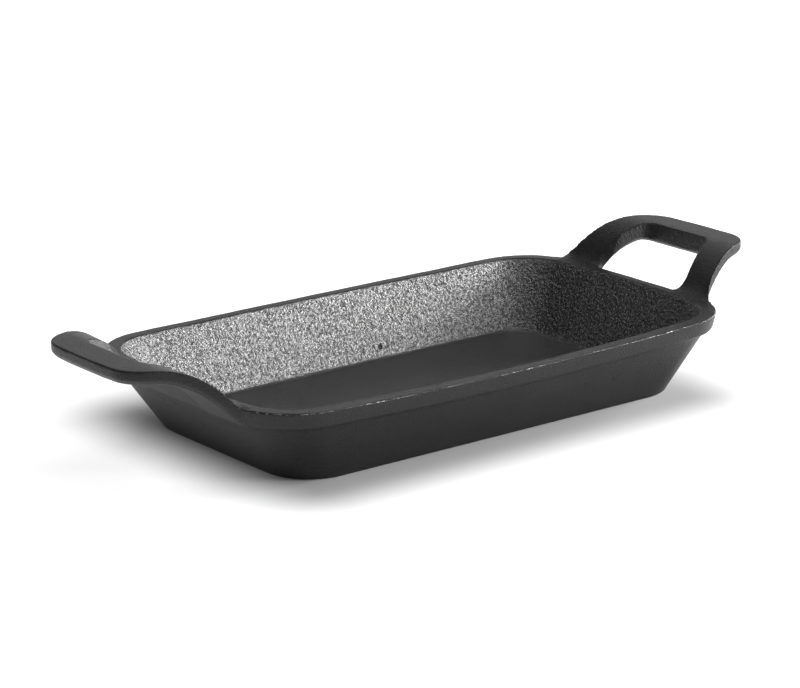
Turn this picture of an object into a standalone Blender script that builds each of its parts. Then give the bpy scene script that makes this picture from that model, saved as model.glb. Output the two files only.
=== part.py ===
# A small cast-iron plancha griddle: a shallow oblong tray with a raised band round
# its rim and a loop handle at each end. Z is up and the tray stands on z = 0,
# centred on the origin, with its long side along X. All sizes are in metres.

import math

import bpy
import bmesh
import numpy as np

MM = 0.001

# Rim, seen from above. The bows say how far the middle of a side stands out
# from a straight line between its corners.
RIM_LENGTH = 160.0 * MM
RIM_WIDTH = 92.2 * MM
RIM_CORNER_RADIUS = 16.0 * MM
RIM_TOP_WIDTH = 4.4 * MM
SIDE_BOW = 2.8 * MM
END_BOW = 2.5 * MM
INNER_SIDE_BOW = 3.4 * MM
INNER_END_BOW = 3.6 * MM

# Rim, seen from the side. The rim climbs a little towards the two handles.
RIM_HEIGHT = 22.1 * MM
END_LIFT = 0.8 * MM
BAND_HEIGHT = 5.0 * MM
BAND_DRAFT = 1.1 * MM
BAND_LEDGE = 1.8 * MM
BAND_EDGE_RADIUS = 0.9 * MM
RIM_EDGE_RADIUS = 0.4 * MM

# Base and walls. The base is where the outer walls would meet the table if
# their lower edge were sharp. It lies a little towards +X under the rim.
BASE_LENGTH = 136.0 * MM
BASE_WIDTH = 73.6 * MM
BASE_SHIFT = 0.8 * MM
BASE_CORNER_RADIUS = 14.0 * MM
BASE_EDGE_RADIUS = 1.5 * MM
FLOOR_THICKNESS = 3.3 * MM
WALL_FOOT = 3.0 * MM
FLOOR_FILLET = 2.6 * MM

# Handles, seen from above. Tip widths are measured where the edges of the arms
# and of the bar would cross if the corners were sharp.
HANDLE_REACH = 26.4 * MM
HANDLE_ROOT_WIDTH = 60.4 * MM
HANDLE_TIP_WIDTH = 40.8 * MM
HANDLE_TIP_RADIUS = 10.0 * MM
HANDLE_FLARE_RADIUS = 8.0 * MM
BAR_WIDTH = 9.3 * MM
BAR_BOW = 0.8 * MM
HOLE_ROOT_WIDTH = 39.0 * MM
HOLE_TIP_WIDTH = 26.6 * MM
HOLE_TIP_RADIUS = 5.0 * MM
HOLE_ROOT_RADIUS = 2.5 * MM

# Handles, seen from the side. They leave the rim at a steep angle and then
# round over until the bar is level. The outer edge climbs faster than the edge
# at the finger hole. The hole narrows downwards, so that its sides face up a little.
HANDLE_RISE = 11.8 * MM
OUTER_RISE_ANGLE = math.radians(62.0)
OUTER_RISE_RADIUS = 22.0 * MM
HOLE_RISE_ANGLE = math.radians(50.0)
HOLE_RISE_RADIUS = 20.0 * MM
OUTER_EDGE_HEIGHT = 3.8 * MM
HOLE_EDGE_HEIGHT = 5.2 * MM
HOLE_DRAFT = 1.3 * MM
HANDLE_LOWER_CHAMFER = 1.2 * MM

# Clearance between neighbouring solids.
FIT_GAP = 0.3 * MM

# How finely the curves are divided.
CORNER_STEPS = 8
SIDE_STEPS = 10
END_STEPS = 8
ROUND_STEPS = 3
FLARE_STEPS = 6
ARM_STEPS = 5
TIP_STEPS = 8
BAR_STEPS = 3
ARM_COLUMNS = 5
SMOOTH_ANGLE = math.radians(35.0)


def level(length, width, radius, side_bow, end_bow, height, lift, shift):
    """One closed ring of the tray: an oblong with round corners at a height."""
    return np.array([length / 2, width / 2, radius, side_bow, end_bow, height, lift, shift])


def inset(ring, distance, height=None):
    """The same ring moved inwards, and to another height if one is given."""
    moved = ring - np.array([distance, distance, distance, 0, 0, 0, 0, 0])
    if height is not None:
        moved[5] = height
    return moved


def between(low, high, height):
    """The ring at a height on the straight wall between two rings."""
    share = (height - low[5]) / (high[5] - low[5])
    return low + (high - low) * share


def round_over(start, corner, end):
    """Rings that round off a corner between two rings."""
    rings = []
    for step in range(ROUND_STEPS + 1):
        t = step / ROUND_STEPS
        rings.append(start * (1 - t) ** 2 + corner * 2 * t * (1 - t) + end * t ** 2)
    return rings


def ring_points(ring):
    """The points of a ring, counter-clockwise from the -Y end of its +X side."""
    half_length, half_width, radius, side_bow, end_bow, height, lift, shift = ring
    flat_x = half_length - radius
    flat_y = half_width - radius
    runs = (
        ((1, -1), (1, 1), 0.0, END_STEPS),
        ((1, 1), (-1, 1), 90.0, SIDE_STEPS),
        ((-1, 1), (-1, -1), 180.0, END_STEPS),
        ((-1, -1), (1, -1), 270.0, SIDE_STEPS),
    )
    plan = []
    for start, end, facing, steps in runs:
        out = np.array([math.cos(math.radians(facing)), math.sin(math.radians(facing))]) * radius
        first = np.array([start[0] * flat_x, start[1] * flat_y]) + out
        last = np.array([end[0] * flat_x, end[1] * flat_y]) + out
        for step in range(steps):
            plan.append(first + (last - first) * step / steps)
        for step in range(CORNER_STEPS):
            angle = math.radians(facing + 90.0 * step / CORNER_STEPS)
            centre = np.array([end[0] * flat_x, end[1] * flat_y])
            plan.append(centre + radius * np.array([math.cos(angle), math.sin(angle)]))
    points = []
    for x, y in plan:
        u = x / half_length
        v = y / half_width
        bowed_x = x + u * end_bow * (1 - v * v)
        bowed_y = y + v * side_bow * (1 - u * u)
        points.append((bowed_x + shift, bowed_y, height + lift * u * u))
    return points


def iron(name, shade, roughness):
    """Matte black cast iron."""
    material = bpy.data.materials.new(name)
    material.use_nodes = True
    shader = material.node_tree.nodes["Principled BSDF"]
    shader.inputs["Base Color"].default_value = (shade, shade, shade, 1.0)
    shader.inputs["Roughness"].default_value = roughness
    shader.inputs["Metallic"].default_value = 0.35
    material.diffuse_color = (shade, shade, shade, 1.0)
    material.roughness = roughness
    return material


def add_object(name, points, faces, material):
    """A named object from points and faces, shaded smooth between its sharp edges."""
    mesh = bpy.data.meshes.new(name)
    mesh.from_pydata([tuple(point) for point in points], [], faces)
    work = bmesh.new()
    work.from_mesh(mesh)
    bmesh.ops.recalc_face_normals(work, faces=work.faces)
    work.to_mesh(mesh)
    work.free()
    mesh.shade_smooth()
    mesh.set_sharp_from_angle(angle=SMOOTH_ANGLE)
    mesh.materials.append(material)
    part = bpy.data.objects.new(name, mesh)
    bpy.context.scene.collection.objects.link(part)
    return part


def skin(loops, closed):
    """Quads between loops of equal length. A closed skin joins its last loop to its first."""
    count = len(loops[0])
    points = [point for loop in loops for point in loop]
    faces = []
    for row in range(len(loops) if closed else len(loops) - 1):
        upper = (row + 1) % len(loops)
        for column in range(count):
            after = (column + 1) % count
            low = row * count
            high = upper * count
            faces.append((low + column, low + after, high + after, high + column))
    return points, faces


# The rings that the pieces of the tray share.
BAND_LOW = RIM_HEIGHT - BAND_HEIGHT
RIM_OUTER = level(RIM_LENGTH, RIM_WIDTH, RIM_CORNER_RADIUS, SIDE_BOW, END_BOW, RIM_HEIGHT, END_LIFT, 0)
RIM_INNER = level(RIM_LENGTH - 2 * RIM_TOP_WIDTH, RIM_WIDTH - 2 * RIM_TOP_WIDTH,
                  RIM_CORNER_RADIUS - RIM_TOP_WIDTH, INNER_SIDE_BOW, INNER_END_BOW, RIM_HEIGHT, END_LIFT, 0)
BAND_OUTER = inset(RIM_OUTER, BAND_DRAFT, BAND_LOW)
WALL_HEAD = inset(BAND_OUTER, BAND_LEDGE, BAND_LOW)
BASE_CORNER = level(BASE_LENGTH, BASE_WIDTH, BASE_CORNER_RADIUS, 0, 0, 0, 0, BASE_SHIFT)
FLOOR_CORNER = inset(BASE_CORNER, WALL_FOOT, FLOOR_THICKNESS)
FLOOR_EDGE = inset(FLOOR_CORNER, FLOOR_FILLET)


def make_floor():
    """The flat cooking floor, which also carries the griddle on the table."""
    top = inset(FLOOR_EDGE, FIT_GAP)
    bottom = inset(top, 0, 0.0)
    loops = [ring_points(bottom), ring_points(top)]
    points, faces = skin(loops, closed=False)
    count = len(loops[0])
    faces.append(tuple(range(count))[::-1])
    faces.append(tuple(range(count, 2 * count)))
    return add_object("cooking_floor", points, faces, iron("floor_iron", 0.045, 0.6))


def make_wall():
    """The sloping wall round the floor, up to the underside of the rim band."""
    head = BAND_LOW - FIT_GAP
    outer_foot = round_over(
        inset(BASE_CORNER, BASE_EDGE_RADIUS),
        BASE_CORNER,
        between(BASE_CORNER, WALL_HEAD, BASE_EDGE_RADIUS),
    )
    inner_foot = round_over(
        FLOOR_EDGE,
        FLOOR_CORNER,
        between(FLOOR_CORNER, RIM_INNER, FLOOR_THICKNESS + FLOOR_FILLET),
    )
    rings = outer_foot + [between(BASE_CORNER, WALL_HEAD, head)]
    rings += [between(FLOOR_CORNER, RIM_INNER, head)] + inner_foot[::-1]
    rings.append(inset(FLOOR_EDGE, 0, 0.0))
    points, faces = skin([ring_points(ring) for ring in rings], closed=True)
    return add_object("side_wall", points, faces, iron("wall_iron", 0.05, 0.55))


def make_band():
    """The thicker band round the top of the wall, with its flat rim."""
    inner_low = between(FLOOR_CORNER, RIM_INNER, BAND_LOW)
    low_edge = round_over(
        inset(BAND_OUTER, BAND_EDGE_RADIUS),
        BAND_OUTER,
        between(BAND_OUTER, RIM_OUTER, BAND_LOW + BAND_EDGE_RADIUS),
    )
    outer_edge = round_over(
        between(BAND_OUTER, RIM_OUTER, RIM_HEIGHT - RIM_EDGE_RADIUS),
        RIM_OUTER,
        inset(RIM_OUTER, RIM_EDGE_RADIUS),
    )
    inner_edge = round_over(
        inset(RIM_INNER, -RIM_EDGE_RADIUS),
        RIM_INNER,
        between(FLOOR_CORNER, RIM_INNER, RIM_HEIGHT - RIM_EDGE_RADIUS),
    )
    rings = low_edge + outer_edge + inner_edge + [inner_low]
    points, faces = skin([ring_points(ring) for ring in rings], closed=True)
    return add_object("rim_band", points, faces, iron("rim_iron", 0.06, 0.5))


def rim_face(y):
    """How far the rim's end face stands from the middle of the tray, at a distance to one side."""
    half_length, half_width, radius, _, end_bow, _, _, _ = RIM_OUTER
    past_flat = max(0.0, abs(y) - (half_width - radius))
    x = half_length - radius + math.sqrt(max(0.0, radius * radius - past_flat * past_flat))
    return x + end_bow * x / half_length * (1 - (y / half_width) ** 2)


def fillet(before, corner, after, radius, steps):
    """Points of an arc that rounds a corner between two straight runs, both ends included."""
    toward_before = (before - corner) / np.linalg.norm(before - corner)
    toward_after = (after - corner) / np.linalg.norm(after - corner)
    opening = math.acos(float(np.clip(toward_before @ toward_after, -1.0, 1.0)))
    run = radius / math.tan(opening / 2)
    middle = toward_before + toward_after
    centre = corner + middle / np.linalg.norm(middle) * radius / math.sin(opening / 2)
    first = corner + toward_before * run - centre
    last = corner + toward_after * run - centre
    turn = math.atan2(first[0] * last[1] - first[1] * last[0], float(first @ last))
    points = []
    for step in range(steps + 1):
        angle = turn * step / steps
        points.append(centre + np.array([
            first[0] * math.cos(angle) - first[1] * math.sin(angle),
            first[0] * math.sin(angle) + first[1] * math.cos(angle),
        ]))
    return points


def half_outline(root_half, tip_half, tip_x, bow, root_radius, tip_radius, flares):
    """One edge of the handle in plan, from the rim to the middle of the bar, on the -Y side."""
    root = np.array([rim_face(root_half) + FIT_GAP, -root_half])
    tip = np.array([tip_x - bow, -tip_half])
    along_rim = root + np.array([0.0, -root_half if flares else root_half])
    middle = np.array([tip_x - bow, 0.0])
    flare = fillet(along_rim, root, tip, root_radius, FLARE_STEPS)
    corner = fillet(root, tip, middle, tip_radius, TIP_STEPS)
    arm = [flare[-1] + (corner[0] - flare[-1]) * step / ARM_STEPS for step in range(1, ARM_STEPS)]
    bar = [corner[-1] + (middle - corner[-1]) * step / BAR_STEPS for step in range(1, BAR_STEPS + 1)]
    bowed = []
    for x, y in flare + arm + corner + bar:
        bowed.append(np.array([x + bow * max(0.0, 1 - (y / tip_half) ** 2), y]))
    return bowed


def rise(distance, angle, radius):
    """How far an edge of the handle has risen at a distance from the rim: a ramp, then an arc."""
    radius = min(radius, HANDLE_RISE / (1 - math.cos(angle)))
    ramp = (HANDLE_RISE - radius * (1 - math.cos(angle))) / math.tan(angle)
    if distance <= ramp:
        return distance * math.tan(angle)
    sine = max(0.0, math.sin(angle) - (distance - ramp) / radius)
    cosine = math.sqrt(1 - sine * sine)
    return ramp * math.tan(angle) + radius * (cosine - math.cos(angle))


def chamfered(top, bottom, chamfer):
    """A closed cross-section: along the top, then back under it with the two lower corners chamfered."""
    up = np.array([0.0, 0.0, chamfer])
    across = bottom[-1] - bottom[0]
    pull = across * chamfer / np.linalg.norm(across)
    hole_corner = [bottom[-1] + up, bottom[-1] - pull]
    outer_corner = [bottom[0] + pull, bottom[0] + up]
    return top + hole_corner + bottom[-2:0:-1] + outer_corner


def handle_sections():
    """Cross-sections of the +X handle, from its root on the -Y side round to the one on the +Y side."""
    tip_x = rim_face(0.0) + HANDLE_REACH
    outer = half_outline(HANDLE_ROOT_WIDTH / 2, HANDLE_TIP_WIDTH / 2, tip_x, BAR_BOW,
                         HANDLE_FLARE_RADIUS, HANDLE_TIP_RADIUS, flares=True)
    inner = half_outline(HOLE_ROOT_WIDTH / 2, HOLE_TIP_WIDTH / 2, tip_x - BAR_WIDTH, 0.0,
                         HOLE_ROOT_RADIUS, HOLE_TIP_RADIUS, flares=False)
    sections = []
    for step, (outside, inside) in enumerate(zip(outer, inner)):
        # The root follows the rim's end face, and that fades out along the flare.
        fade = max(0.0, 1 - step / FLARE_STEPS)
        top = []
        bottom = []
        for column in range(ARM_COLUMNS):
            share = column / (ARM_COLUMNS - 1)
            x, y = outside + (inside - outside) * share
            draft = (inside - outside) / np.linalg.norm(inside - outside) * HOLE_DRAFT * share
            root = outer[0] + (inner[0] - outer[0]) * share
            x = max(x + (rim_face(root[1]) + FIT_GAP - root[0]) * fade, rim_face(y) + FIT_GAP)
            away = x - rim_face(y) - FIT_GAP
            rim_top = RIM_HEIGHT + END_LIFT * (2 * rim_face(y) / RIM_LENGTH) ** 2
            outer_climb = rise(away, OUTER_RISE_ANGLE, OUTER_RISE_RADIUS)
            hole_climb = rise(away, HOLE_RISE_ANGLE, HOLE_RISE_RADIUS)
            z = rim_top + outer_climb + (hole_climb - outer_climb) * share
            edge = OUTER_EDGE_HEIGHT + (HOLE_EDGE_HEIGHT - OUTER_EDGE_HEIGHT) * share
            reach = min(1.0, away / (HANDLE_REACH - BAR_WIDTH))
            depth = BAND_HEIGHT + (edge - BAND_HEIGHT) * reach
            top.append(np.array([x, y, z]))
            bottom.append(np.array([x + draft[0] - BAND_DRAFT * fade, y + draft[1], z - depth]))
        sections.append(chamfered(top, bottom, HANDLE_LOWER_CHAMFER))
    across_middle = np.array([1, -1, 1])
    mirrored = [[point * across_middle for point in section] for section in sections[-2::-1]]
    return sections + mirrored


def make_handle(name, side):
    """A loop handle: two arms that climb from the rim and a bar across their ends."""
    sections = handle_sections()
    count = len(sections[0])
    points, faces = skin(sections, closed=False)
    points = [(side * x, y, z) for x, y, z in points]
    # Each root is closed by a strip of quads, with a triangle at each chamfer.
    for first in (0, (len(sections) - 1) * count):
        for column in range(ARM_COLUMNS - 1):
            low = 2 * ARM_COLUMNS - column
            faces.append((first + column, first + column + 1, first + low - 1, first + low))
        faces.append((first + ARM_COLUMNS - 1, first + ARM_COLUMNS, first + ARM_COLUMNS + 1))
        faces.append((first, first + 2 * ARM_COLUMNS, first + 2 * ARM_COLUMNS + 1))
    return add_object(name, points, faces, iron(name + "_iron", 0.055, 0.5))


def main():
    for old in list(bpy.data.objects):
        bpy.data.objects.remove(old, do_unlink=True)
    make_floor()
    make_wall()
    make_band()
    make_handle("right_handle", 1)
    make_handle("left_handle", -1)


main()
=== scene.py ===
import math

import bpy
import numpy as np
from mathutils import Matrix, Vector


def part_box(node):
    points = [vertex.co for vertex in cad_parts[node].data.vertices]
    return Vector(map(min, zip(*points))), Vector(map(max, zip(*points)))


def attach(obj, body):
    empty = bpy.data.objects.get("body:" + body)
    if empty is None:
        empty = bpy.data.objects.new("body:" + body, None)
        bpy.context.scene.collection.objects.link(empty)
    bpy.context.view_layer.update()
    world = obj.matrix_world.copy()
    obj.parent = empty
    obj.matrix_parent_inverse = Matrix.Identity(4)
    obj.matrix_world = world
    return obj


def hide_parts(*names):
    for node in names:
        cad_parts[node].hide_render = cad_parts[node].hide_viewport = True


# The looks of a small cast-iron plancha griddle. It is one casting, so its five regions are
# joined into one skin, which gets the sand-cast relief and is then cut at the same places again.
# Lengths are in metres and angles in degrees, unless a line says otherwise.

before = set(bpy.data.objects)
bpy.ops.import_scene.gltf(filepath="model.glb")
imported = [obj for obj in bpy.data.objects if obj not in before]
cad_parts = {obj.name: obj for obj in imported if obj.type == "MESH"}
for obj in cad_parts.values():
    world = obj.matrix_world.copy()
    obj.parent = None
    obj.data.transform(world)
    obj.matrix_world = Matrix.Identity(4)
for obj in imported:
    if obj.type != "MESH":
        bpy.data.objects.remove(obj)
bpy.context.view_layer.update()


def pickOnly(*things):
    bpy.ops.object.select_all(action="DESELECT")
    for thing in things:
        thing.select_set(True)
    bpy.context.view_layer.objects.active = things[0]


def applyAll(piece):
    pickOnly(piece)
    for modifier in list(piece.modifiers):
        bpy.ops.object.modifier_apply(modifier=modifier.name)


# Camera

photoView = {
    "place": (-0.4838, -0.6271, 0.2499),
    "turn": -37.32,   # from straight along Y towards +X
    "tilt": -16.33,   # down towards the griddle
    "roll": -0.64,
    "lens": 132.64,   # mm
    "sensor": 36,     # mm, its width
    "nearest": 0.01,
}


def addCamera():
    bpy.ops.object.select_all(action="DESELECT")
    bpy.ops.object.camera_add()
    camera = bpy.context.object
    camera.name = "photoCamera"
    turned = Matrix.Rotation(math.radians(photoView["turn"]), 4, "Z")
    tilted = Matrix.Rotation(math.radians(90 + photoView["tilt"]), 4, "X")
    rolled = Matrix.Rotation(math.radians(photoView["roll"]), 4, "Z")
    camera.matrix_world = Matrix.Translation(photoView["place"]) @ turned @ tilted @ rolled
    camera.data.lens = photoView["lens"]
    camera.data.sensor_width = photoView["sensor"]
    camera.data.clip_start = photoView["nearest"]
    bpy.context.scene.camera = camera


addCamera()
print("camera placed")


# Casting

casting = {
    "doubles": 0.00001,        # points closer than this are joined
    "sameHeight": 0.0001,      # and heights closer than this are the same
    "crispAngle": 32,          # sharper edges than this stay crisp
    "smoothAngle": 75,         # and flatter ones than this are shaded smooth at last
    "skinFace": 0.00040,       # width of one face of the skin
    "rootSink": 0.0015,        # how far the handle roots reach into the rim band
    "edgeRounds": 2,           # rounds of smoothing for the edges
    "floorRound": 0.0026,      # height of the round between floor and walls in the frame
    "baseRound": 0.0015,       # and of the one under the walls
    "roundTaken": 0.7,         # share of these rounds that is taken away
    "barLowered": 0.0011,      # the inner edge of the handle bar hangs this much lower
    "keptOutside": 0.12,       # share of the triangles that the plain outside keeps
    "wallCut": 0.01695,        # height of the cut between wall and band
    "handleCut": 0.08265,      # distance of the cuts at the handle roots from the middle
    "floorCutOut": 0.00015,    # the cut round the floor lies this far outside its edge
}


def copyNode(name):
    copy = bpy.data.objects.new(name + "_copy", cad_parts[name].data.copy())
    bpy.context.scene.collection.objects.link(copy)
    copy.data.materials.clear()
    pickOnly(copy)
    bpy.ops.object.mode_set(mode="EDIT")
    bpy.ops.mesh.select_all(action="SELECT")
    bpy.ops.mesh.remove_doubles(threshold=casting["doubles"])
    bpy.ops.mesh.tris_convert_to_quads()
    bpy.ops.object.mode_set(mode="OBJECT")
    return copy


# into edit mode on one piece with nothing selected
def editWith(piece, mode):
    pickOnly(piece)
    bpy.ops.object.mode_set(mode="EDIT")
    bpy.ops.mesh.select_mode(type=mode)
    bpy.ops.mesh.select_all(action="DESELECT")


# places or normals of all points or faces, one row each
def readMany(things, what):
    values = np.empty(len(things) * 3, dtype=np.float32)
    things.foreach_get(what, values)
    return values.reshape(-1, 3).astype(float)


def writePlaces(mesh, places):
    mesh.vertices.foreach_set("co", places.astype(np.float32).ravel())
    mesh.update()


# the two points at the ends of each edge
def readEnds(mesh):
    ends = np.empty(len(mesh.edges) * 2, dtype=np.int32)
    mesh.edges.foreach_get("vertices", ends)
    return ends.reshape(-1, 2)


# selects the faces whose middles and normals are wanted, all at once
def pickFaces(piece, wanted):
    editWith(piece, "FACE")
    bpy.ops.object.mode_set(mode="OBJECT")
    faces = piece.data.polygons
    faces.foreach_set("select", wanted(*readMany(faces, "center").T, *readMany(faces, "normal").T))
    bpy.ops.object.mode_set(mode="EDIT")


# selects the open edges whose two ends are both wanted
def pickOpenEdges(piece, wanted):
    editWith(piece, "EDGE")
    bpy.ops.mesh.select_non_manifold(
        use_wire=False, use_multi_face=False, use_non_contiguous=False, use_verts=False)
    bpy.ops.object.mode_set(mode="OBJECT")
    points = piece.data.vertices
    kept = [edge.index for edge in piece.data.edges
            if edge.select and all(wanted(points[i].co, points[i].normal) for i in edge.vertices)]
    bpy.ops.object.mode_set(mode="EDIT")
    bpy.ops.mesh.select_all(action="DESELECT")
    bpy.ops.object.mode_set(mode="OBJECT")
    for index in kept:
        piece.data.edges[index].select = True
    bpy.ops.object.mode_set(mode="EDIT")


# subdivides with the sharp edges creased
def roundOff(piece, levels):
    editWith(piece, "EDGE")
    bpy.ops.mesh.edges_select_sharp(sharpness=math.radians(casting["crispAngle"]))
    bpy.ops.transform.edge_crease(value=1)
    bpy.ops.object.mode_set(mode="OBJECT")
    finer = piece.modifiers.new("finer", "SUBSURF")
    finer.levels = levels
    finer.render_levels = levels
    applyAll(piece)


# whether a point's surface looks away from the middle of the tray
def outward(place, normal):
    return normal.x * place.x + normal.y * place.y > 0


def buildTray():
    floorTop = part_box("cooking_floor")[1].z
    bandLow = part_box("rim_band")[0].z
    upright, sideways = 0.9, 0.05   # heights of the normals of the faces that are taken away
    nearBand = (0.0005, 0.001)      # and how near they are to the underside of the band
    wellUp = 0.01                   # the seams higher than this join wall and band
    same = casting["sameHeight"]
    tray = copyNode("cooking_floor")
    wall = copyNode("side_wall")
    band = copyNode("rim_band")
    pickOnly(tray, wall, band)
    bpy.ops.object.join()

    # the faces that look at each other across the narrow gaps between the nodes
    def facing(x, y, z, normalX, normalY, normalZ):
        beside = (np.abs(normalZ) < sideways) & (z < floorTop)
        above = (normalZ > upright) & (np.abs(z - bandLow) < nearBand[1])
        below = (normalZ < -upright) & (z > bandLow - nearBand[0])
        return beside | above | below

    pickFaces(tray, facing)
    bpy.ops.mesh.delete(type="FACE")
    bpy.ops.object.mode_set(mode="OBJECT")
    seams = (
        lambda place, normal: place.z < same,
        lambda place, normal: abs(place.z - floorTop) < same,
        lambda place, normal: place.z > wellUp and outward(place, normal),
        lambda place, normal: place.z > wellUp and not outward(place, normal),
    )
    for seam in seams:
        pickOpenEdges(tray, seam)
        bpy.ops.mesh.bridge_edge_loops()
        bpy.ops.object.mode_set(mode="OBJECT")
    editWith(tray, "FACE")
    bpy.ops.mesh.select_all(action="SELECT")
    bpy.ops.mesh.normals_make_consistent(inside=False)
    bpy.ops.object.mode_set(mode="OBJECT")
    creaseRings(tray, (casting["baseRound"], floorTop + casting["floorRound"]))
    tightenRound(tray, floorTop, casting["floorRound"], 1)
    tightenRound(tray, 0, casting["baseRound"], -1)
    roundOff(tray, 2)
    return tray


# keeps the rings of edges at these heights where they are when the mesh is subdivided
def creaseRings(tray, heights):
    z = readMany(tray.data.vertices, "co")[:, 2]
    ends = readEnds(tray.data)
    editWith(tray, "EDGE")
    bpy.ops.object.mode_set(mode="OBJECT")
    ring = np.zeros(len(ends), dtype=bool)
    for height in heights:
        ring |= (np.abs(z[ends] - height) < casting["sameHeight"]).all(axis=1)
    tray.data.edges.foreach_set("select", ring)
    bpy.ops.object.mode_set(mode="EDIT")
    bpy.ops.transform.edge_crease(value=1)
    bpy.ops.object.mode_set(mode="OBJECT")


# where tightenRound looks for its points and for the wall's slope
roundArea = {
    "slopes": (0.05, 1.35),    # radians, of the points on the round
    "below": 0.0002,           # the round may begin this far from its height
    "wallEnd": 0.016,          # the wall is measured up to this height
    "leastTilt": 0.1,          # and only its faces that tilt at least so much
}


# The casting's edges at the floor and the base are tighter than the frame's. A point of the old
# round moves towards the corner, by its slope: slope 0 touches the level face, wallSlope the wall.
# up is 1 for the hollow round on the floor's top and -1 for the one under the base.
def tightenRound(tray, height, tall, up):
    places = readMany(tray.data.vertices, "co")
    normals = readMany(tray.data.vertices, "normal")
    x, y, z = places.T
    level = np.hypot(normals[:, 0], normals[:, 1])
    slope = np.arctan2(level, up * normals[:, 2])
    rightSide = up * (normals[:, 0] * x + normals[:, 1] * y) < 0
    atHeight = (z > height - roundArea["below"]) & (z < height + tall + casting["sameHeight"])
    least, most = roundArea["slopes"]
    onRound = rightSide & atHeight & (slope > least) & (slope < most)

    middles = readMany(tray.data.polygons, "center")
    facing = readMany(tray.data.polygons, "normal")
    onWall = up * (facing[:, 0] * middles[:, 0] + facing[:, 1] * middles[:, 1]) < 0
    onWall &= (middles[:, 2] > height + tall) & (middles[:, 2] < roundArea["wallEnd"])
    onWall &= up * facing[:, 2] > roundArea["leastTilt"]
    wallSlope = float(np.median(np.arccos(up * facing[onWall, 2])))
    radius = tall / (1 - math.cos(wallSlope))

    almostNone = 0.0001         # nothing is divided by 0
    out = -up * normals[:, :2] / np.maximum(level, almostNone)[:, None]
    slope = np.minimum(slope, wallSlope)
    sideways = out * (math.tan(wallSlope / 2) - np.sin(slope))[:, None]
    moves = np.column_stack([sideways, np.cos(slope) - 1])
    places[onRound] += moves[onRound] * radius * casting["roundTaken"]
    writePlaces(tray.data, places)


# the handle's roots are pushed into the band, so that the two run into each other
def buildHandle(name):
    handle = copyNode(name)
    side = 1 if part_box(name)[1].x > 0 else -1
    rootEnd = min(abs(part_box(name)[0].x), abs(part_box(name)[1].x))
    nearEnd, turnedIn = 0.002, 0.8      # its end faces are so near the end and turned in so much
    pickFaces(handle, lambda x, y, z, normalX, normalY, normalZ:
              (normalX * side < -turnedIn) & (np.abs(x) < rootEnd + nearEnd))
    bpy.ops.transform.translate(value=(-side * casting["rootSink"], 0, 0))
    bpy.ops.object.mode_set(mode="OBJECT")
    roundOff(handle, 2)
    return handle


# Fills the hollow creases among the wanted points and leaves every ridge alone, as a smoothing
# brush does that only adds: a point moves out where its neighbours stand further out than it.
def fillCreases(skin, wanted, rounds):
    mesh = skin.data
    places = readMany(mesh.vertices, "co")
    ends = readEnds(mesh)
    ends = ends[wanted[ends[:, 0]] | wanted[ends[:, 1]]]
    one = np.concatenate([ends[:, 0], ends[:, 1]])
    other = np.concatenate([ends[:, 1], ends[:, 0]])
    used, row = np.unique(one, return_inverse=True)
    moving = wanted[used]
    share = np.bincount(row)
    refresh = 10        # rounds from one reading of the normals to the next
    for turn in range(rounds):
        if turn % refresh == 0:
            normals = readMany(mesh.vertices, "normal")[used]
        middle = np.stack([np.bincount(row, places[other, axis]) / share for axis in range(3)], axis=1)
        rise = ((middle - places[used]) * normals).sum(axis=1)
        rise = np.where(moving, np.clip(rise, 0, None), 0)
        places[used] += normals * rise[:, None]
        if turn % refresh == refresh - 1:
            writePlaces(mesh, places)
    writePlaces(mesh, places)


# the edge of the handle bar that is pulled down: each pair is where the pull comes or goes, and
# how far it takes for that
barEdge = {
    "comes": (0.0950, 0.003),      # along X
    "goes": (0.0990, 0.0055),
    "top": (0.0340, 0.0035),       # down from this height
    "side": (0.0150, 0.005),       # in from this Y
}


# pulls down the edge of the bar that looks into the finger hole
def lowerBar(skin):
    places = readMany(skin.data.vertices, "co")
    x, y, z = np.abs(places).T
    (come, comeOver), (go, goOver) = barEdge["comes"], barEdge["goes"]
    (top, topOver), (side, sideOver) = barEdge["top"], barEdge["side"]
    share = np.clip(1 - (x - go) / goOver, 0, 1) * np.clip((x - come) / comeOver, 0, 1)
    share *= np.clip((top - z) / topOver, 0, 1) * np.clip((side - y) / sideOver, 0, 1)
    places[:, 2] -= casting["barLowered"] * share
    writePlaces(skin.data, places)


# the creases that are filled, more rounds give larger fillets
fillets = {
    "reach": 0.008,            # the fillets at the handle roots spread this far along X
    "roots": {"inner": 0.012, "outer": 0.041, "rounds": 160},      # inner and outer Y
    "flares": {"inner": 0.027, "outer": 0.046, "above": 0.002, "rounds": 500},
    "undersides": {"near": 0.003, "rounds": 280},                  # of the handles
    "ledge": {"near": 0.0015, "rounds": 14},                       # the line under the band
}


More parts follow.
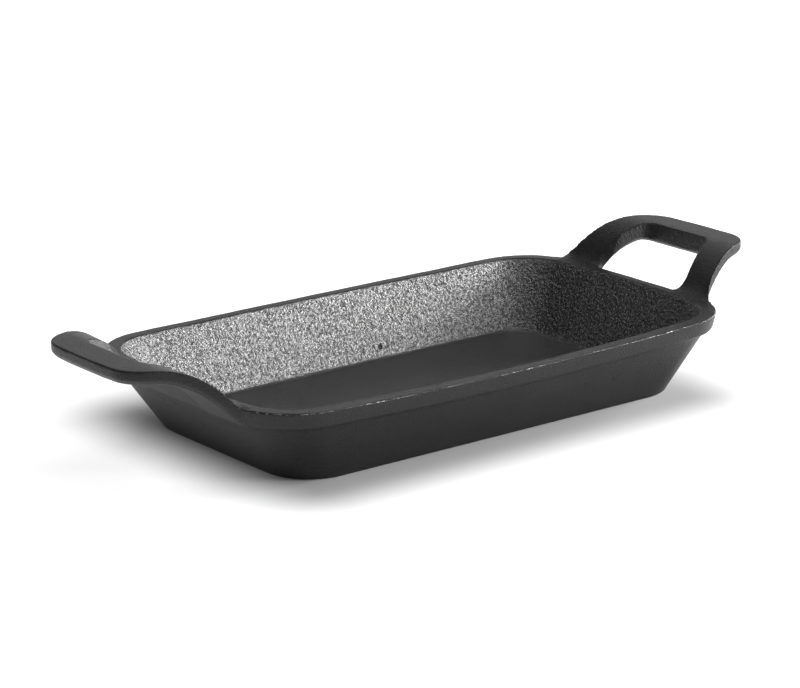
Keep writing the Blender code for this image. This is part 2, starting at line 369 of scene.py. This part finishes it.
# tray and handles as one closed skin of small even faces, rounded where they run into each other
def buildSkin():
    skin = buildTray()
    handles = [buildHandle("right_handle"), buildHandle("left_handle")]
    pickOnly(skin, *handles)
    bpy.ops.object.join()
    skin.name = "skin"
    even = skin.modifiers.new("evenFaces", "REMESH")
    even.mode = "VOXEL"
    even.voxel_size = casting["skinFace"]
    even.use_smooth_shade = True
    soft = skin.modifiers.new("softEdges", "SMOOTH")
    soft.factor = 0.5
    soft.iterations = casting["edgeRounds"]
    applyAll(skin)

    low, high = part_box("rim_band")
    roots, flares = fillets["roots"], fillets["flares"]
    undersides, ledge = fillets["undersides"], fillets["ledge"]
    x, y, z = np.abs(readMany(skin.data.vertices, "co")).T
    atFlare = (np.abs(x - high.x) < fillets["reach"]) & (y < flares["outer"])
    atRoot = atFlare & (y < roots["outer"])
    fillCreases(skin, atRoot & (y > roots["inner"]) & (z > low.z), roots["rounds"])
    onFlare = atFlare & (y > flares["inner"]) & (z > low.z + flares["above"])
    fillCreases(skin, onFlare, flares["rounds"])
    lowerBar(skin)
    x, y, z = np.abs(readMany(skin.data.vertices, "co")).T
    under = atRoot & (z < high.z - undersides["near"]) & (z > low.z - undersides["near"])
    fillCreases(skin, under, undersides["rounds"])
    fillCreases(skin, (np.abs(z - low.z) < ledge["near"]) & (x < high.x), ledge["rounds"])
    return skin


# Sand-cast relief

relief = {
    "pebbles": (0.00070, 0.00020),    # size and depth of the pebbled inside of the walls
    "lumps": (0.0015, 0.00008),
    "outsideGrain": (0.0010, 0.00006),
    "wave": (0.014, 0.00010),         # the slow unevenness of the outside
    "floorShare": 0.30,               # how much of the inside's relief the floor has
    "holeShare": 0.35,                # and the sides of the finger holes
    "steps": 16,                      # the shares are rounded to so many even steps
    "flatBelow": 0.0004,              # the underside stays flat
    "pitMargin": 0.0012,              # the skin keeps its small faces so far round a pit
    "belowBand": 0.002,               # and from so far below the rim band upwards
    "baseBelow": 0.0003,              # what is lower than this belongs to the underside
    "pits": {                         # place of each flaw, its radius and its depth
        (0.0140, 0.0355, 0.0063): (0.0010, 0.0007),
        (-0.0771, 0.0054, 0.0142): (0.0007, 0.0003),
        (-0.0740, -0.0036, 0.0099): (0.0007, 0.0003),
        (-0.0772, -0.0335, 0.0167): (0.0007, 0.0004),
        (-0.0666, -0.0356, 0.0069): (0.0009, 0.0004),
        (0.0255, -0.0425, 0.0110): (0.0007, 0.0003),
        (0.0042, -0.0439, 0.0131): (0.0007, 0.0003),
        (0.0364, -0.0417, 0.0102): (0.0007, 0.0003),
    },
}


def addRelief(skin, name, group, level):
    size, depth = relief[name]
    texture = bpy.data.textures.new(name, "CLOUDS")
    texture.noise_scale = size
    texture.noise_depth = 1
    bumps = skin.modifiers.new(name, "DISPLACE")
    bumps.texture = texture
    bumps.texture_coords = "LOCAL"
    bumps.strength = depth
    bumps.mid_level = level
    bumps.vertex_group = group


# where the inside of the tray and the sides of the finger holes are
insideArea = {
    "floorBelow": 0.0004,          # the inside begins so far below the floor's top
    "floorAbove": 0.0006,          # and the floor ends so far above it
    "floorTilt": 0.3,              # least height of a normal on the floor
    "rimWithin": 0.001,
    "holeFrom": 0.0008,            # beyond the rim
    "holeMiddle": 0.0905,
    "holeHalf": (0.009, 0.014),    # half sizes of the hole
    "holeEnd": (0.1, 0.0165),      # its sides lie within these X and Y
    "holeTilt": 0.7,               # most height of a normal on them
    "holeFull": 0.3,               # they have their whole share from this on
}


# 1 on the inside of the walls, a smaller share on the floor, 0 elsewhere; the surfaces that
# lean back further than start are left to the floor
def insideShare(points, start=0.0, reach=0.15):
    area = insideArea
    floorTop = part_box("cooking_floor")[1].z
    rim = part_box("rim_band")[1]
    x, y, z = readMany(points, "co").T
    normals = readMany(points, "normal")
    level = np.hypot(normals[:, 0], normals[:, 1])
    inward = np.where(normals[:, 0] * x / rim.x + normals[:, 1] * y / rim.y < 0, level, 0)
    within = (z > floorTop - area["floorBelow"]) & (np.abs(x) < rim.x - area["rimWithin"])
    wall = np.clip((inward - start) / reach, 0, 1)
    onFloor = (z < floorTop + area["floorAbove"]) & (normals[:, 2] > area["floorTilt"])
    floor = np.where(onFloor, relief["floorShare"], 0)

    # the sides of the finger holes have some of it too
    halfX, halfY = area["holeHalf"]
    side = normals[:, 0] * np.sign(x) * (area["holeMiddle"] - np.abs(x)) / halfX
    side -= normals[:, 1] * y / halfY
    inHole = (np.abs(x) > rim.x + area["holeFrom"]) & (np.abs(x) < area["holeEnd"][0])
    inHole &= (np.abs(y) < area["holeEnd"][1]) & (np.abs(normals[:, 2]) < area["holeTilt"])
    hole = np.where(inHole, np.clip(side / area["holeFull"], 0, 1), 0)
    return np.maximum(np.where(within, np.maximum(wall, floor), 0), hole * relief["holeShare"])


# small casting flaws, the largest on the inside of the far wall
def addPits(skin):
    places = readMany(skin.data.vertices, "co")
    normals = readMany(skin.data.vertices, "normal")
    for pit, (radius, depth) in relief["pits"].items():
        away = np.linalg.norm(places - pit, axis=1) / radius
        places -= normals * (depth * np.clip(1 - away ** 2, 0, 1) ** 2)[:, None]
    writePlaces(skin.data, places)


def castRelief(skin):
    points = skin.data.vertices
    shares = insideShare(points)
    inside = skin.vertex_groups.new(name="inside")
    outside = skin.vertex_groups.new(name="outside")
    count = relief["steps"]      # a few even steps are quicker to write than each weight
    steps = np.round(shares * count).astype(int)
    clear = readMany(points, "co")[:, 2] > relief["flatBelow"]
    for step in range(count + 1):
        chosen = np.flatnonzero(steps == step)
        if step:
            inside.add(chosen.tolist(), step / count, "REPLACE")
        if step < count:
            outside.add(chosen[clear[chosen]].tolist(), 1 - step / count, "REPLACE")
    addRelief(skin, "wave", "outside", 1.0)
    addRelief(skin, "outsideGrain", "outside", 1.0)
    addRelief(skin, "pebbles", "inside", 0.5)
    addRelief(skin, "lumps", "inside", 0.5)
    applyAll(skin)
    skin.vertex_groups.clear()
    addPits(skin)

    # the plain outside of the walls and the underside need fewer faces
    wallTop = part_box("rim_band")[0].z - relief["belowBand"]
    almostNone = 0.000001
    mostUp = 0.1

    def plain(x, y, z, normalX, normalY, normalZ):
        outwards = (normalX * x > -almostNone) & (normalY * y > -almostNone) & (normalZ < mostUp)
        flawed = np.zeros(len(x), dtype=bool)
        for pit in relief["pits"]:
            flawed |= np.abs(np.array([x, y, z]).T - pit).max(axis=1) < relief["pitMargin"]
        return (z < wallTop) & (outwards | (z < relief["baseBelow"])) & ~flawed

    pickFaces(skin, plain)
    bpy.ops.mesh.decimate(ratio=casting["keptOutside"])
    bpy.ops.object.mode_set(mode="OBJECT")


# Cuts

def addBlock(low, high):
    middle = (Vector(low) + Vector(high)) / 2
    size = Vector(high) - Vector(low)
    bpy.ops.object.select_all(action="DESELECT")
    bpy.ops.mesh.primitive_cube_add(size=1, location=middle, scale=size)
    bpy.ops.object.transform_apply(location=True, rotation=False, scale=True)
    return bpy.context.object


# a copy of the skin cut by some blocks: INTERSECT keeps what is in a block, DIFFERENCE what isn't
def cutPiece(skin, name, cuts):
    piece = bpy.data.objects.new(name, skin.data.copy())
    bpy.context.scene.collection.objects.link(piece)
    for operation, block in cuts:
        cut = piece.modifiers.new(block.name, "BOOLEAN")
        cut.object = block
        cut.operation = operation
        cut.solver = "MANIFOLD"
    applyAll(piece)
    pickOnly(piece)
    bpy.ops.object.shade_smooth_by_angle(angle=math.radians(casting["smoothAngle"]))
    # the whole skin's shading, so that no cut shows
    shading = piece.modifiers.new("wholeShading", "DATA_TRANSFER")
    shading.object = skin
    shading.use_loop_data = True
    shading.data_types_loops = {"CUSTOM_NORMAL"}
    shading.loop_mapping = "POLYINTERP_NEAREST"
    applyAll(piece)
    return piece


def cutCasting(skin):
    reach = 0.2         # well past the griddle on every side
    below = -0.01
    lower = addBlock((-reach, -reach, below), (reach, reach, casting["wallCut"]))
    right = addBlock((casting["handleCut"], -reach, 0), (reach, reach, reach))
    left = addBlock((-reach, -reach, 0), (-casting["handleCut"], reach, reach))

    # the floor's own shape, a little larger, and made taller than the floor on both sides
    middle = copyNode("cooking_floor")
    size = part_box("cooking_floor")[1] * 2
    out = 2 * casting["floorCutOut"]
    taller, sunk = 4, 0.003
    wider = (1 + out / size.x, 1 + out / size.y, taller)
    bpy.ops.transform.resize(value=wider, center_override=(0, 0, 0))
    bpy.ops.transform.translate(value=(0, 0, -sunk))
    bpy.ops.object.transform_apply(location=True, rotation=False, scale=True)
    pieces = {
        "cooking_floor": cutPiece(skin, "floor_casting", [("INTERSECT", middle)]),
        "side_wall": cutPiece(skin, "wall_casting", [("INTERSECT", lower), ("DIFFERENCE", middle)]),
        "rim_band": cutPiece(skin, "rim_casting", [("DIFFERENCE", b) for b in (lower, right, left)]),
        "right_handle": cutPiece(skin, "right_handle_casting", [("INTERSECT", right)]),
        "left_handle": cutPiece(skin, "left_handle_casting", [("INTERSECT", left)]),
    }
    for block in (lower, right, left, middle, skin):
        bpy.data.objects.remove(block)
    return pieces


# Finish

ironLook = {
    "dark": 0.007,             # the colour of the iron varies between these two
    "light": 0.018,
    "darkTo": 0.35,            # the noise below this is all dark
    "lightFrom": 0.65,         # and above this all light
    "broadGrain": 60.0,        # grains in one metre, as all the grains here
    "outsideRoughness": 0.36,
    "outsideIor": 1.45,
    "outsideGrain": 1900.0,
    "outsideBump": 0.00032,
    "insideRoughness": 0.22,
    "insideIor": 3.0,
    "insideGrain": 1150.0,
    "insideBump": 0.00030,
    # the mirroring is turned down in the pebbles' hollows, a painted shade there
    "ridgeShine": 0.5,         # the hollows between the pebbles mirror less than the ridges
    "paintedShadeShine": 0.20,
    "paintedShadeTo": 0.38,          # the noise below this is all hollow
    "ridgeFrom": 0.55,         # and above this all ridge
    "wornColour": 0.50,        # the bright worn edge of the rim
    "wornGrain": 1400.0,
    "wornShare": 0.41,         # more leaves fewer and smaller bright spots
    "wornFade": 0.08,
}


# links a socket to an input of a node, or sets that input to a plain value
def feed(tree, entry, value):
    if isinstance(value, bpy.types.NodeSocket):
        tree.links.new(value, entry)
    else:
        entry.default_value = value


# each value is for the input with that name, or else for the setting with that name
def addNode(tree, kind, **values):
    node = tree.nodes.new(kind)
    for name, value in values.items():
        if name in node.inputs:
            feed(tree, node.inputs[name], value)
        else:
            setattr(node, name, value)
    return node


# goes from one end to the other while the value goes through the span
def addRange(tree, value, span, ends, kind="LINEAR"):
    node = addNode(tree, "ShaderNodeMapRange", interpolation_type=kind, Value=value)
    for name, number in zip(("From Min", "From Max", "To Min", "To Max"), (*span, *ends)):
        node.inputs[name].default_value = number
    return node.outputs["Result"]


def addMath(tree, operation, *values, kind="ShaderNodeMath"):
    node = addNode(tree, kind, operation=operation)
    for place, value in enumerate(values):
        feed(tree, node.inputs[place], value)
    return node.outputs["Value" if operation == "LENGTH" else 0]


mixPlaces = {"FLOAT": (2, 3, 0), "RGBA": (6, 7, 2)}    # the two inputs and the output for each kind


# goes from one number or colour to the other by a share
def addMix(tree, kind, share, *values):
    node = addNode(tree, "ShaderNodeMix", data_type=kind, Factor=share)
    *entries, result = mixPlaces[kind]
    for place, value in zip(entries, values):
        feed(tree, node.inputs[place], value)
    return node.outputs[result]


def grey(value):
    return [value] * 3 + [1]


def castIron():
    look = ironLook
    iron = bpy.data.materials.new("castIron")
    iron.use_nodes = True
    tree = iron.node_tree
    place = addNode(tree, "ShaderNodeTexCoord").outputs["Object"]
    inside, shine, edge = (addNode(tree, "ShaderNodeAttribute", attribute_name=name).outputs["Fac"]
                           for name in ("inside", "shine", "edge"))

    def addNoise(scale, detail, roughness):
        noise = addNode(tree, "ShaderNodeTexNoise", Vector=place, Scale=scale, Detail=detail,
                        Roughness=roughness)
        return noise.outputs["Fac"]

    fine = addNoise(look["outsideGrain"], 3.0, 0.6)
    coarse = addNoise(look["insideGrain"], 2.0, 0.6)
    broad = addNoise(look["broadGrain"], 4.0, 0.6)
    spots = addNoise(look["wornGrain"], 2.0, 0.7)

    tone = addMath(tree, "MULTIPLY", addMath(tree, "ADD", fine, broad), 0.5)
    ramp = addNode(tree, "ShaderNodeValToRGB", Fac=tone)
    low, high = ramp.color_ramp.elements
    low.position, low.color = look["darkTo"], grey(look["dark"])
    high.position, high.color = look["lightFrom"], grey(look["light"])

    # the rim's outer edge is worn bright in spots
    wornSpan = (look["wornShare"], look["wornShare"] + look["wornFade"])
    worn = addRange(tree, addMath(tree, "MULTIPLY", spots, edge), wornSpan, (0, 1))

    # inside, the strength of the mirroring follows the pebbles and is turned down in their hollows, a
    # painted shade there
    paintedShadeSpan = (look["paintedShadeTo"], look["ridgeFrom"])
    paintedHollowShade = addRange(tree, coarse, paintedShadeSpan, (look["paintedShadeShine"], look["ridgeShine"]))

    fineBump = addNode(tree, "ShaderNodeBump", Distance=look["outsideBump"], Height=fine)
    coarseBump = addNode(tree, "ShaderNodeBump", Distance=look["insideBump"], Strength=inside,
                         Height=coarse, Normal=fineBump.outputs["Normal"])
    entries = {
        "Base Color": addMix(tree, "RGBA", worn, ramp.outputs["Color"], grey(look["wornColour"])),
        "Metallic": worn,
        "Specular IOR Level": addMix(tree, "FLOAT", shine, look["ridgeShine"], paintedHollowShade),
        "Roughness": addRange(tree, shine, (0, 1), (look["outsideRoughness"], look["insideRoughness"])),
        "IOR": addRange(tree, shine, (0, 1), (look["outsideIor"], look["insideIor"])),
        "Normal": coarseBump.outputs["Normal"],
    }
    for name, value in entries.items():
        feed(tree, tree.nodes["Principled BSDF"].inputs[name], value)
    return iron


# where the material is shiny inside and where the rim is worn
marked = {
    "shine": (0.60, 0.22),     # start and reach for insideShare
    "edgeBelow": 0.0014,       # the worn edge lies between these heights round the rim's top
    "edgeAbove": 0.0005,
    "edgeOut": 0.1,            # least outward part of a normal there
    "edgeTilt": 0.5,           # height of the normals in the middle of the edge
    "tiltReach": 0.42,
    "edgeFull": 1.3,           # the share before it is cut off at 1
}


# tells the material where the pebbled inside and the worn outer edge of the rim are
def markPiece(piece):
    points = piece.data.vertices
    marks = {"inside": insideShare(points), "shine": insideShare(points, *marked["shine"])}
    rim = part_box("rim_band")[1]
    x, y, z = readMany(points, "co").T
    normals = readMany(points, "normal")
    onEdge = (normals[:, 0] * x / rim.x + normals[:, 1] * y / rim.y) > marked["edgeOut"]
    onEdge &= (z > rim.z - marked["edgeBelow"]) & (z < rim.z + marked["edgeAbove"]) & (np.abs(x) < rim.x)
    tilt = np.abs(normals[:, 2] - marked["edgeTilt"]) / marked["tiltReach"]
    marks["edge"] = np.where(onEdge, np.clip(marked["edgeFull"] - tilt, 0, 1), 0)
    for name, values in marks.items():
        mark = piece.data.attributes.new(name, "FLOAT", "POINT")
        mark.data.foreach_set("value", values.astype(np.float32))


skin = buildSkin()
print("skin of the casting done:", len(skin.data.polygons), "faces")
castRelief(skin)
print("relief done")
pieces = cutCasting(skin)
iron = castIron()
for node, piece in pieces.items():
    markPiece(piece)
    piece.data.materials.clear()
    piece.data.materials.append(iron)
    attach(piece, "root")
    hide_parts(node)
    print(piece.name, len(piece.data.polygons), "faces")


# Studio

lamps = {    # the direction that each comes from, its distance from the middle, its size and its watts
    "key": {"from": (0.62, -0.65, 0.46), "far": 1.15, "size": (0.9, 0.24), "power": 4.6},
    "corner": {"from": (0.17, -0.74, 0.63), "far": 1.15, "size": (0.34, 0.24), "power": 1.1},
    "top": {"from": (0.12, 0.2, 1.0), "far": 1.0, "size": (0.9, 0.9), "power": 2.8},
    "right": {"from": (0.94, -0.14, 0.30), "far": 1.2, "size": (0.55, 0.35), "power": 10.0},
    "back": {"from": (0.58, 0.76, 0.26), "far": 1.3, "size": (1.3, 0.5), "power": 1.8},
}
studio = {
    "skyLevel": 0.06,
    "floorSize": 8,
    "floorColour": 0.88,
    # the next four set a painted glow on the floor, weakest round the griddle and growing outwards
    "paintedGlowFrom": (0.063, 0.042),    # half sizes of the patch of floor that is lifted least
    "paintedGlowReach": 0.031,
    "paintedGlowNear": 0.02,
    "paintedGlowFar": 0.76,
}


def addSoftbox(name, box):
    direction = Vector(box["from"]).normalized()
    bpy.ops.object.select_all(action="DESELECT")
    bpy.ops.object.light_add(type="AREA", location=direction * box["far"])
    lamp = bpy.context.object
    lamp.name = name + "Softbox"
    lamp.rotation_euler = direction.to_track_quat("Z", "Y").to_euler()
    lamp.data.shape = "RECTANGLE"
    lamp.data.size, lamp.data.size_y = box["size"]
    lamp.data.energy = box["power"]


# 1 for the rays that should see the white background, 0 for those that only carry light
def backdropRays(tree):
    rays = addNode(tree, "ShaderNodeLightPath").outputs
    seen = addMath(tree, "MAXIMUM", rays["Is Camera Ray"], rays["Is Glossy Ray"])
    return addMath(tree, "MAXIMUM", seen, rays["Is Transmission Ray"])


# the floor's painted glow towards white grows with the distance from the griddle, so the floor is
# painted darker near it and lighter away from it
def paintedFloorGlow(tree):
    def onVectors(operation, *values):
        return addMath(tree, operation, *values, kind="ShaderNodeVectorMath")

    place = addNode(tree, "ShaderNodeTexCoord").outputs["Object"]
    beyond = onVectors("SUBTRACT", onVectors("ABSOLUTE", place), (*studio["paintedGlowFrom"], 0))
    away = onVectors("LENGTH", onVectors("MAXIMUM", beyond, (0, 0, 0)))
    ends = (studio["paintedGlowNear"], studio["paintedGlowFar"])
    return addRange(tree, away, (0, studio["paintedGlowReach"]), ends, "SMOOTHSTEP")


def addFloor():
    bpy.ops.object.select_all(action="DESELECT")
    bpy.ops.mesh.primitive_plane_add(size=studio["floorSize"], location=(0, 0, 0))
    floor = bpy.context.object
    floor.name = "studioFloor"
    white = bpy.data.materials.new("studioWhite")
    white.use_nodes = True
    tree = white.node_tree
    tree.nodes.remove(tree.nodes["Principled BSDF"])
    matte = addNode(tree, "ShaderNodeBsdfDiffuse", Color=grey(studio["floorColour"]))
    # a painted glow on the floor, seen by camera and mirrored rays, weakest near the griddle
    strength = addMath(tree, "MULTIPLY", backdropRays(tree), paintedFloorGlow(tree))
    paintedGlow = addNode(tree, "ShaderNodeEmission", Strength=strength)
    both = addNode(tree, "ShaderNodeAddShader")
    feed(tree, both.inputs[0], matte.outputs[0])
    feed(tree, both.inputs[1], paintedGlow.outputs[0])
    feed(tree, tree.nodes["Material Output"].inputs["Surface"], both.outputs[0])
    floor.data.materials.append(white)


def setSky():
    world = bpy.data.worlds.new("studioSky")
    bpy.context.scene.world = world
    world.use_nodes = True
    sky = world.node_tree.nodes["Background"]
    sky.inputs["Color"].default_value = grey(1)
    sky.inputs["Strength"].default_value = studio["skyLevel"]


addFloor()
setSky()
for name, box in lamps.items():
    addSoftbox(name, box)
bpy.context.scene.view_settings.view_transform = "Standard"
print("studio done")
